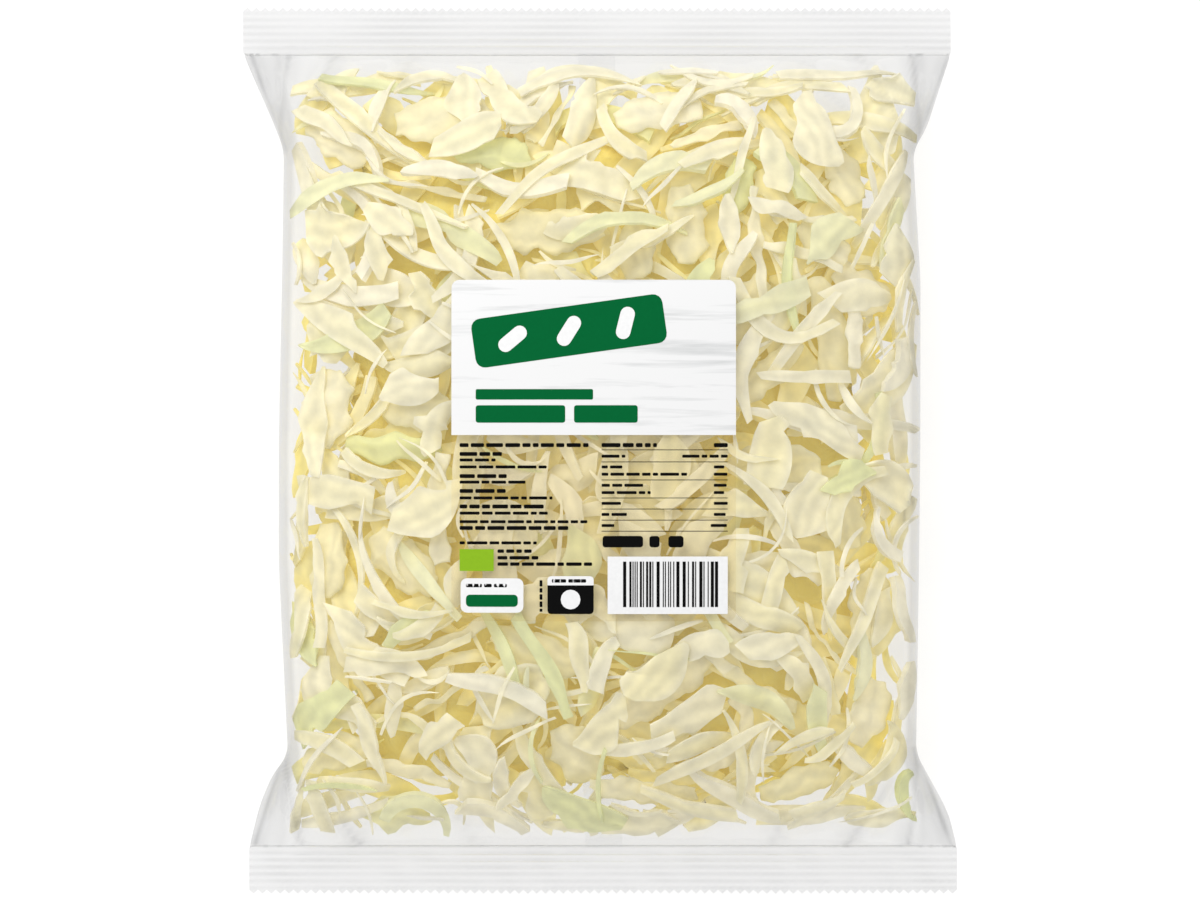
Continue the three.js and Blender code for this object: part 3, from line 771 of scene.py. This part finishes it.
def refined_copy(node, name, material, slot, seed):
    """A CAD shred with rounded cut edges and an uneven leaf surface, in the CAD shred's place."""
    rng = np.random.default_rng(seed)
    bm = bmesh.new()
    bm.from_mesh(frame["nodes"][node].data)
    bmesh.ops.scale(bm, vec=(1 / MM,) * 3, verts=bm.verts)
    bmesh.ops.remove_doubles(bm, verts=bm.verts, dist=0.001)
    bmesh.ops.join_triangles(bm, faces=bm.faces[:], angle_face_threshold=1.0,
                             angle_shape_threshold=1.4)
    bmesh.ops.subdivide_edges(bm, edges=bm.edges[:], cuts=3, use_grid_fill=True, smooth=0.3,
                              smooth_falloff="LINEAR")
    points = np.array([vert.co for vert in bm.verts])
    centre = points.mean(axis=0)
    axis = np.linalg.svd((points - centre)[:, :2], full_matrices=False)[2][0]
    shift_x = 0.85 * wave_field(points[:, 0], points[:, 1], 9, seed, 4, 16)
    shift_y = 0.85 * wave_field(points[:, 0], points[:, 1], 9, seed + 1, 4, 16)
    lift = 0.5 * wave_field(points[:, 0], points[:, 1], 8, seed + 2, 6, 20)
    move_verts(bm.verts, points[:, 0] + shift_x, points[:, 1] + shift_y, points[:, 2] + lift)
    tint = bm.verts.layers.float_color.new("shred_tint_and_shade")
    grain = bm.verts.layers.float_vector.new("shred_grain")
    white = {"cabbage_rib": (0.0, 0.3), "cabbage_strip": (0.1, 0.6)}.get(slot, (0.2, 0.9))
    leafy = rng.uniform(*white)
    green = 0.9 if slot == "green_leaf" else 0.0
    # Painted shade: a weaker golden depth tint on these pieces.
    shade = 0.4 * depth_shade(front_height(points[:, 0], points[:, 1]) - points[:, 2])
    flat = (points - centre)[:, :2]
    along = flat @ axis
    across = flat @ np.array((-axis[1], axis[0]))
    for vert, a, b, vert_shade in zip(bm.verts, along, across, shade):
        vert[tint] = (leafy, green, vert_shade, 1.0)
        vert[grain] = (a * MM, b * MM, seed * 0.01)
    piece = link_piece(name, bm, material, slot)
    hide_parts(node)
    return piece


def surface_nodes():
    """Names of the CAD shreds, in order."""
    return [name for name in sorted(frame["nodes"]) if name.startswith("cabbage_")]


def node_slot(node):
    for entry in frame["record"]["subparts"]:
        if entry["node"] == node:
            return entry["material_slot"]
    raise ValueError(f"{node} has no slot in the record")


# ---- Operators -----------------------------------------------------------------------------


class BAG_OT_film(Operator):
    """Build the film bag: one skin, closed at the seals, with folds at its corners"""

    bl_idname = "cabbage_bag.film"
    bl_label = "Film Bag"

    AROUND = 264
    ALONG = 196
    WELD = 0.0005  # closes the ring, and the skin at the seals, without pinching the side folds

    def execute(self, context):
        settings = context.scene.cabbage_bag.film
        bm = bmesh.new()
        bmesh.ops.create_grid(bm, x_segments=self.AROUND, y_segments=self.ALONG, size=1)
        around, along = grid_shares(bm.verts)
        y = mix(-END_Y, END_Y, along)
        middle, half = middle_and_half(y)
        angle = -math.tau * around
        x = middle + half * np.cos(angle)
        front = outer_front(x, y)
        back = back_height(x, y) + back_relief(x, y)
        on_front = np.sin(angle) >= 0
        move_verts(bm.verts, x, y, np.where(on_front, front, back))
        # Painted shade along the front's folds and sides, read by the film's material.
        folded = bm.verts.layers.float.new("film_fold_shade")
        for vert, share in zip(bm.verts, np.where(on_front, fold_shade(x, y), 0)):
            vert[folded] = share
        bmesh.ops.remove_doubles(bm, verts=bm.verts, dist=self.WELD)
        material = film_material("clear polypropylene film", settings, settings.tint, settings.haze)
        skin = link_piece("film_bag", bm, material, "clear_film")
        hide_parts("film_tube")
        return {"FINISHED"}


class BAG_OT_seals(Operator):
    """Build the two crimped seals with their ribs and zig-zag edges"""

    bl_idname = "cabbage_bag.seals"
    bl_label = "End Seals"

    THICKNESS = 0.16
    RIB_HEIGHT = 0.28
    RIB_SHADE = 0.16
    ROWS = 42

    def execute(self, context):
        settings = context.scene.cabbage_bag.film
        material = film_material("heat sealed double film", settings, settings.seal_tint,
                                 settings.seal_haze)
        for end, name in ((1, "top_seal"), (-1, "bottom_seal")):
            self.build(settings, material, end, name)
        return {"FINISHED"}

    def build(self, settings, material, end, name):
        bm = bmesh.new()
        columns = 4 * settings.teeth
        bmesh.ops.create_grid(bm, x_segments=columns, y_segments=self.ROWS, size=1)
        across, along = grid_shares(bm.verts)
        tooth = np.abs((across * settings.teeth) % 1 - 0.5) * 2
        depth = (BAG_HALF_LENGTH - END_Y) - settings.tooth_depth / MM * tooth
        y = END_Y + along * depth
        x = mix(-SEAL_HALF_WIDTH, SEAL_HALF_WIDTH, across)
        ribs = np.sin(math.tau * (y - END_Y) / (settings.rib_pitch / MM)) * self.RIB_HEIGHT
        ribs = ribs * np.clip(8 * along, 0, 1) * np.clip(10 * (1 - along), 0, 1)
        warp = 0.5 * wave_field(x, y * 0.4, 7, 21 + end, 26, 90) * along
        z = SEAL_Z + self.THICKNESS / 2 + ribs + warp
        x = x * end - end * SEAL_SHIFT
        move_verts(bm.verts, x, y * end, z)
        # Painted shade: the seals' rib valleys are darkened, unevenly, where the ribs would be in
        # shadow.
        pressed = bm.verts.layers.float.new("film_fold_shade")
        uneven = 0.65 + 0.35 * wave_field(x * 0.5, y, 8, 25 + end, 5, 40)
        for vert, rib in zip(bm.verts, (0.5 - 0.5 * ribs / self.RIB_HEIGHT) * uneven):
            vert[pressed] = self.RIB_SHADE * rib
        bmesh.ops.solidify(bm, geom=bm.faces[:], thickness=self.THICKNESS)
        seal = link_piece(name + "_band", bm, material, "sealed_film", sharp=math.radians(60))
        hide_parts(name)


class BAG_OT_back_seam(Operator):
    """Build the folded fin seam that lies along the back"""

    bl_idname = "cabbage_bag.back_seam"
    bl_label = "Back Seam"

    THICKNESS = 0.14

    def execute(self, context):
        settings = context.scene.cabbage_bag.film
        bm = bmesh.new()
        bmesh.ops.create_grid(bm, x_segments=10, y_segments=160, size=1)
        across, along = grid_shares(bm.verts)
        y = mix(-END_Y, END_Y, along)
        middle, _ = middle_and_half(y)
        x = middle + (across - 0.5) * SEAM_WIDTH + 0.25 * np.sin(y * 0.09)
        fin_lines = 0.05 * np.sin(across * math.tau * 5)
        z = bottom_level(y) + 0.26 + fin_lines + 0.06 * wave_field(x, y, 6, 31, 8, 30)
        move_verts(bm.verts, x, y, z)
        bmesh.ops.solidify(bm, geom=bm.faces[:], thickness=self.THICKNESS)
        material = film_material("heat sealed fin seam", settings, settings.seam_tint, 0.0)
        seam = link_piece("back_fin_seam", bm, material, "clear_film", sharp=math.radians(60))
        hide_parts("back_seam")
        return {"FINISHED"}


class BAG_OT_shreds(Operator):
    """Lay the shredded cabbage: the core, the shreds of the CAD and the loose shreds round them"""

    bl_idname = "cabbage_bag.shreds"
    bl_label = "Shredded Cabbage"

    FILM_GAP = 0.7
    BACK_BED = 9
    TRIES = 6
    CORE_INSET = 25  # the core ends this far inside the film's sides
    CORE_HALF_LENGTH = 103
    LEAST_BED = 12  # room that the back bed always leaves under the front film
    GROUP_SIZE = 150

    def execute(self, context):
        settings = context.scene.cabbage_bag.shreds
        self.material = cabbage_material(settings)
        self.core(settings)
        heroes = self.surface_shreds()
        self.front_bed(settings, heroes)
        self.back_bed(settings)
        return {"FINISHED"}

    def core_top(self, x, y, depth):
        floor = self.core_bottom(x, y)
        bumps = 1.4 * wave_field(x, y, 10, 40, 9, 30)
        top = front_height(x, y) - depth + bumps
        return np.where(top - floor > 4, top, floor + 0.05)

    def core_bottom(self, x, y):
        middle, half = middle_and_half(y)
        edge = np.clip(np.abs(x - middle) / half, 0, 1)
        lowest = back_height(x, y) + 0.8
        return lowest + self.BACK_BED * np.clip(front_height(x, y) - 26, 0, 10) / 10 * (1 - edge**6)

    def core(self, settings):
        """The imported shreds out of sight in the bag's middle, as one lumpy body."""
        depth = settings.bed_depth / MM
        bm = bmesh.new()
        bmesh.ops.create_cube(bm, size=2)
        bmesh.ops.subdivide_edges(bm, edges=bm.edges[:], cuts=45, use_grid_fill=True)
        points = np.array([vert.co for vert in bm.verts])
        ends = 3 * wave_field(points[:, 0] * 100, points[:, 2] * 20, 8, 42, 10, 30)
        y = points[:, 1] * (self.CORE_HALF_LENGTH + ends)
        middle, half = middle_and_half(y)
        sides = 3 * wave_field(points[:, 1] * 110, points[:, 2] * 20, 8, 41, 10, 30)
        x = middle + points[:, 0] * (half - self.CORE_INSET + sides)
        low = self.core_bottom(x, y)
        high = np.maximum(self.core_top(x, y, depth), low + 1.5)
        z = mix(low, high, (points[:, 2] + 1) / 2)
        move_verts(bm.verts, x, y, z)
        core = link_piece("packed_core", bm, core_material(), "packed_cabbage")
        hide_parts("packed_shreds")

    def surface_shreds(self):
        """Finished copies of the CAD's shreds, and their points for the loose ones to lie round."""
        points = []
        for order, node in enumerate(surface_nodes()):
            seed = 100 + 7 * order
            piece = refined_copy(node, node + "_finished", self.material, node_slot(node), seed)
            flat = np.empty(len(piece.data.vertices) * 3)
            piece.data.vertices.foreach_get("co", flat)
            points.append(flat.reshape(-1, 3) / MM)
        return np.concatenate(points)

    def inner_front(self, x, y):
        return front_height(x, y) - self.FILM_GAP

    def front_bed(self, settings, heroes):
        rng = np.random.default_rng(settings.seed)
        depth = settings.bed_depth / MM

        def floor(x, y):
            middle, half = middle_and_half(y)
            beside = np.abs(x - middle) < half - self.CORE_INSET
            over_core = beside & (np.abs(y) < self.CORE_HALF_LENGTH)
            return np.where(over_core, self.core_top(x, y, depth), back_height(x, y) + 0.4)

        heap = Heap(floor, self.inner_front)
        film = heap.roof.copy()
        heap.lower_roof(heroes[:, 0], heroes[:, 1], heroes[:, 2] - 0.2)
        kinds = (LEAF, STRIP, RIB, SLIVER)
        laid = {id(kind): [] for kind in kinds}
        shares = (0.45, 0.29, 0.14, 0.12)
        self.fill(heap, rng, kinds, shares, settings.front_count, laid)
        heap.roof = film
        heap.raise_floor(heroes[:, 0], heroes[:, 1], heroes[:, 2])
        self.fill(heap, rng, kinds, (0.2, 0.36, 0.14, 0.3), settings.top_count, laid)
        names = ("leaf_pieces", "strips", "rib_slices", "slivers")
        slots = ("cabbage_leaf", "cabbage_strip", "cabbage_rib", "cabbage_strip")
        for kind, name, slot in zip(kinds, names, slots):
            self.groups("front_" + name, laid[id(kind)], kind, slot, False)

    def back_bed(self, settings):
        rng = np.random.default_rng(settings.seed + 1)

        def floor(x, y):
            under_film = -front_height(x, y) + self.FILM_GAP + self.LEAST_BED
            return np.maximum(-self.core_bottom(x, y), under_film)

        def roof(x, y):
            return -back_height(x, y) - self.FILM_GAP

        heap = Heap(floor, roof)
        kinds = (LEAF, STRIP, RIB)
        laid = {id(kind): [] for kind in kinds}
        self.fill(heap, rng, kinds, (0.38, 0.46, 0.16), settings.back_count, laid)
        for kind, name, slot in zip(kinds, ("leaf_pieces", "strips", "rib_slices"),
                                    ("cabbage_leaf", "cabbage_strip", "cabbage_rib")):
            self.groups("back_" + name, laid[id(kind)], kind, slot, True)

    def fill(self, heap, rng, kinds, shares, count, laid):
        for _ in range(count):
            kind = kinds[rng.choice(len(kinds), p=shares)]
            for _ in range(self.TRIES):
                shred = heap.lay(rng, kind)
                if shred is not None:
                    laid[id(kind)].append(shred)
                    break

    def groups(self, name, shreds, kind, slot, upside_down):
        count = max(1, math.ceil(len(shreds) / self.GROUP_SIZE))
        for index in range(count):
            part = shreds[index::count]
            if part:
                shred_group(f"{name}_{index + 1}", part, kind.thickness, self.material, slot,
                            upside_down)


# ---- Label ---------------------------------------------------------------------------------

LABEL_CORNER = 2.5
LABEL_SPLIT = 4.9  # the opaque part ends this far above the label's middle
LABEL_SHEET = 0.12
PRINT_LIFT = 0.06


def label_height(x, y):
    """Height of the label's upper face. The stiff label bridges the film's small folds."""
    return front_height(x, y) + 0.55 + 0.1 * wave_field(x, y, 6, 51, 35, 90)


@dataclass
class Patch:
    """A rounded rectangle on the label, in millimetres from the label's middle."""

    left: float
    bottom: float
    right: float
    top: float
    corner: float = 0.0
    tilt: float = 0.0
    corners: str = "all"


def add_patch(bm, patch, lift, cell=2.2):
    """Adds a rounded rectangle that follows the label, as one face deep grid."""
    width = patch.right - patch.left
    height = patch.top - patch.bottom
    angles = (0, 22, 45, 67, 90) if patch.corner else (0,)
    arc = [patch.corner * (1 - math.cos(math.radians(angle))) for angle in angles]
    body = max(1, math.ceil((height - 2 * patch.corner) / cell))
    rows = list(arc)
    rows += [patch.corner + (height - 2 * patch.corner) * (i + 1) / body for i in range(body)][:-1]
    rows += [height - d for d in reversed(arc)]
    columns = max(1, math.ceil(width / cell))
    made = bmesh.ops.create_grid(bm, x_segments=columns, y_segments=len(rows) - 1, size=1)["verts"]
    across, along = grid_shares(made)
    from_bottom = np.array(rows)[np.rint(along * (len(rows) - 1)).astype(int)]
    from_end = np.minimum(from_bottom, height - from_bottom)
    short = np.clip(patch.corner - from_end, 0, None)
    inset = patch.corner - np.sqrt(np.maximum(patch.corner**2 - short**2, 0))
    if patch.corners == "top":
        inset = np.where(from_bottom < height / 2, 0, inset)
    if patch.corners == "bottom":
        inset = np.where(from_bottom > height / 2, 0, inset)
    x = (across - 0.5) * (width - 2 * inset)
    y = from_bottom - height / 2
    turn = math.radians(patch.tilt)
    px = (patch.left + patch.right) / 2 + x * math.cos(turn) - y * math.sin(turn) + LABEL_X
    py = (patch.bottom + patch.top) / 2 + x * math.sin(turn) + y * math.cos(turn)
    move_verts(made, px, py, label_height(px, py) + lift)


def word_patches(rng, left, right, middle, height, shortest=1.6, longest=6.5, gap=0.7):
    """A line of greeked print: plain dashes of random lengths with gaps between them."""
    patches = []
    x = left
    while x < right - shortest * 0.6:
        end = min(x + rng.uniform(shortest, longest), right)
        patches.append(Patch(x, middle - height / 2, end, middle + height / 2, height * 0.3))
        x = end + gap
    return patches


class BAG_OT_label(Operator):
    """Build the label: an opaque printed part above and a smoky clear part below"""

    bl_idname = "cabbage_bag.label"
    bl_label = "Label"

    def execute(self, context):
        settings = context.scene.cabbage_bag.label
        half_x = LABEL_WIDTH / 2
        half_y = LABEL_LENGTH / 2
        upper = Patch(-half_x, LABEL_SPLIT, half_x, half_y, LABEL_CORNER, 0, "top")
        lower = Patch(-half_x, -half_y, half_x, LABEL_SPLIT, LABEL_CORNER, 0, "bottom")
        paper = self.sheet("label_paper_part", upper, label_paper_material())
        clear = self.sheet("label_clear_part", lower, smoky_label_material())
        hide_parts("front_label")
        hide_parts("front_label")
        return {"FINISHED"}

    def sheet(self, name, patch, material):
        bm = bmesh.new()
        add_patch(bm, patch, 0.0, cell=1.5)
        bmesh.ops.solidify(bm, geom=bm.faces[:], thickness=LABEL_SHEET)
        return link_piece(name, bm, material, "label_face", sharp=math.radians(60))


class BAG_OT_label_print(Operator):
    """Print the label with plain generic blocks, dashes, rules and bars, and no lettering"""

    bl_idname = "cabbage_bag.label_print"
    bl_label = "Label Print"

    def execute(self, context):
        settings = context.scene.cabbage_bag.label
        dark_green = ink_material("dark green ink", settings.dark_green)
        bright_green = ink_material("bright green ink", settings.bright_green)
        black = ink_material("black ink", settings.ink)
        white = ink_material("white ink", settings.white)
        self.print_piece("print_green_block", self.emblem(), dark_green, 1)
        self.print_piece("print_emblem_leaves", self.emblem_leaves(), white, 2)
        self.print_piece("print_headings", self.headings(), dark_green, 1)
        self.print_piece("print_small_block", [Patch(-42.4, -38.1, -31.6, -31.2)], bright_green, 1)
        self.print_piece("print_white_panels", self.white_panels(), white, 1)
        badge = Patch(-14.6, -51.7, 0, -42.6, 1.2, 0, "bottom")
        self.print_piece("print_dark_badge", [badge], black, 1)
        self.print_piece("print_badge_disc", [Patch(-10.4, -50.2, -4.2, -44.0, 3.05)], white, 2)
        self.print_piece("print_panel_bar", [Patch(-40.4, -49.4, -24.0, -45.6, 1.2)], dark_green, 2)
        self.print_piece("print_small_lines", self.small_lines(), black, 1)
        self.print_piece("print_bar_code", self.bars(), black, 2)
        return {"FINISHED"}

    def print_piece(self, name, patches, material, layer):
        bm = bmesh.new()
        for patch in patches:
            add_patch(bm, patch, PRINT_LIFT * layer)
        bmesh.ops.solidify(bm, geom=bm.faces[:], thickness=PRINT_LIFT * 0.9)
        link_piece(name, bm, material, "label_face", smooth=False)

    def emblem(self):
        return [Patch(-38.3, 30.0, 22.7, 45.6, 3.0, 8.0)]

    def emblem_leaves(self):
        """Three plain upright leaves on the block."""
        turn = math.radians(8)
        leaves = []
        for offset in (-18, 0, 18):
            x = -7.8 + offset * math.cos(turn)
            y = 37.8 + offset * math.sin(turn)
            leaves.append(Patch(x - 2.3, y - 5.2, x + 2.3, y + 5.2, 2.25, -32 + offset))
        return leaves

    def headings(self):
        return [
            Patch(-37.3, 16.1, -0.2, 19.4, 0.5),
            Patch(-37.3, 8.8, -9.0, 14.3, 0.8),
            Patch(-6.2, 8.8, 13.9, 14.3, 0.8),
        ]

    def white_panels(self):
        return [
            Patch(-42.1, -51.3, -22.2, -40.4, 2.0),
            Patch(-14.6, -42.6, 0, -39.7, 1.2, 0, "top"),
            Patch(4.4, -51.7, 42.4, -33.5),
        ]

    def small_lines(self):
        rng = np.random.default_rng(71)
        patches = []
        bold = ((1.7, -1.6), (-1.1, -29), (-8.1, -26.5), (-12.8, -27.8), (-17.7, -14.6), (-24.5, -8))
        plain = ((-3.0, -31), (-5.2, -14.5), (-10.0, -21.5), (-15.0, -13.0), (-19.8, -14.5),
                 (-22.5, -2.0), (-29.2, -18.0))
        for y, right in bold:
            patches += word_patches(rng, -42.4, right, y, 1.25)
        for y, right in plain:
            patches += word_patches(rng, -42.4, right, y, 0.95)
        for y, right in ((-31.8, -19.6), (-33.9, -17.5), (-35.9, -0.5)):
            patches += word_patches(rng, -30.4, right, y, 1.1)
        for y in (0.2, -3.6, -9.3, -15.0, -18.5, -22.0, -25.5):
            patches.append(Patch(2.5, y - 0.12, 42.4, y + 0.12))
        patches += word_patches(rng, 2.5, 20, 1.7, 1.3)
        patches += word_patches(rng, 38.0, 42.4, 1.7, 1.3)
        rows = ((-1.8, 10, 28), (-5.2, 10, 38), (-7.5, 31, 38), (-11.0, 16, 38), (-13.3, 18, 38),
                (-16.7, 9, 38), (-20.2, 10.5, 38), (-23.7, 6.5, 37))
        for y, right, value in rows:
            patches += word_patches(rng, 2.5, right, y, 0.95)
            patches += word_patches(rng, value, 42.4, y, 0.95)
        for left, right in ((2.8, 15.6), (17.6, 20.8), (23.6, 28.4)):
            patches.append(Patch(left, -30.6, right, -27.0, 0.9))
        patches += word_patches(rng, -40.4, -27, -42.7, 1.1)
        patches += word_patches(rng, -13.2, -1.4, -41.2, 1.1)
        y = -51
        while y < -41:
            length = rng.uniform(0.9, 2.2)
            patches.append(Patch(-17.1, y, -16.2, y + length, 0.2))
            y += length + 0.5
        return patches

    def bars(self):
        """Upright bars of random widths, as on a goods code, with no digits."""
        rng = np.random.default_rng(72)
        patches = []
        x = 9.3
        while x < 39.0:
            width = 0.33 * rng.choice((1, 1, 1, 2, 2, 3))
            patches.append(Patch(x, -49.5, min(x + width, 39.4), -35.1))
            x += width + 0.33 * rng.choice((1, 1, 2, 3))
        return patches


# ---- Stage ---------------------------------------------------------------------------------


def add_softbox(name, place, aim, size, power):
    light = bpy.data.lights.new(name, "AREA")
    light.shape = "SQUARE"
    light.size = size
    light.energy = power
    lamp = bpy.data.objects.new(name, light)
    lamp.location = place
    lamp.visible_glossy = False  # the film shows no bright patch
    direction = [a - p for a, p in zip(aim, place)]
    lamp.rotation_euler = Vector(direction).to_track_quat("-Z", "Y").to_euler()
    bpy.context.scene.collection.objects.link(lamp)


class BAG_OT_stage(Operator):
    """Set up the pale floor, the soft studio light and the camera that looks straight down"""

    bl_idname = "cabbage_bag.stage"
    bl_label = "Stage"

    def execute(self, context):
        settings = context.scene.cabbage_bag.stage
        self.floor()
        self.lights(settings)
        self.camera(settings)
        return {"FINISHED"}

    def floor(self):
        bm = bmesh.new()
        bmesh.ops.create_grid(bm, x_segments=1, y_segments=1, size=3)
        mesh = bpy.data.meshes.new("floor")
        bm.to_mesh(mesh)
        bm.free()
        material, tree = new_material("matt white light table")
        place = add_node(tree, "ShaderNodeTexCoord")
        fleck = add_node(tree, "ShaderNodeTexNoise", {"Vector": place.outputs["Object"], "Scale": 30.0})
        colour = add_node(tree, "ShaderNodeMix", {0: fleck.outputs[0], 6: linear("8A8A8A"),
                                                  7: linear("8E8E8E")}, data_type="RGBA")
        matt = add_node(tree, "ShaderNodeBsdfPrincipled", {"Base Color": colour.outputs[2],
                                                           "Roughness": 0.9,
                                                           "Emission Color": linear("FFFFFF"),
                                                           "Emission Strength": 0.76})
        finish_material(tree, matt.outputs[0])
        mesh.materials.append(material)
        floor = bpy.data.objects.new("floor", mesh)
        floor.location.z = -0.4 * MM
        bpy.context.scene.collection.objects.link(floor)

    def lights(self, settings):
        aim = (0, 0, 0.02)
        add_softbox("key_softbox", (-0.45, 0.7, 0.75), aim, 0.7, settings.key_power)
        add_softbox("fill_softbox", (0.95, 0.1, 1.0), aim, 1.0, settings.key_power * 0.2)
        world = bpy.data.worlds.new("even light")
        world.use_nodes = True
        background = world.node_tree.nodes["Background"]
        background.inputs["Color"].default_value = (1, 1, 1, 1)
        background.inputs["Strength"].default_value = settings.world_light
        bpy.context.scene.world = world
        bpy.context.scene.view_settings.view_transform = "Standard"

    def camera(self, settings):
        camera = bpy.data.cameras.new("camera")
        camera.lens = settings.lens
        camera.sensor_width = 36
        camera.clip_start = 0.01
        eye = bpy.data.objects.new("camera", camera)
        eye.location = (0, 0, settings.camera_height + SEAL_Z * MM)
        bpy.context.scene.collection.objects.link(eye)
        bpy.context.scene.camera = eye


class BAG_PT_panel(Panel):
    """Lists the steps that build the bag"""

    bl_idname = "BAG_PT_panel"
    bl_label = "Cabbage Bag"
    bl_space_type = "VIEW_3D"
    bl_region_type = "UI"
    bl_category = "Cabbage Bag"

    def draw(self, context):
        for step in STEPS:
            self.layout.operator(step.bl_idname)


STEPS = (BAG_OT_stage, BAG_OT_film, BAG_OT_seals, BAG_OT_back_seam, BAG_OT_shreds, BAG_OT_label,
         BAG_OT_label_print)
CLASSES = (FilmSettings, ShredSettings, LabelSettings, StageSettings, BagSettings, *STEPS, BAG_PT_panel)


def register():
    for item in CLASSES:
        bpy.utils.register_class(item)
    bpy.types.Scene.cabbage_bag = PointerProperty(type=BagSettings)


def unregister():
    del bpy.types.Scene.cabbage_bag
    for item in reversed(CLASSES):
        bpy.utils.unregister_class(item)


def main():
    register()
    for step in STEPS:
        group, name = step.bl_idname.split(".")
        getattr(getattr(bpy.ops, group), name)()
    bpy.context.view_layer.update()


if __name__ == "__main__":
    main()
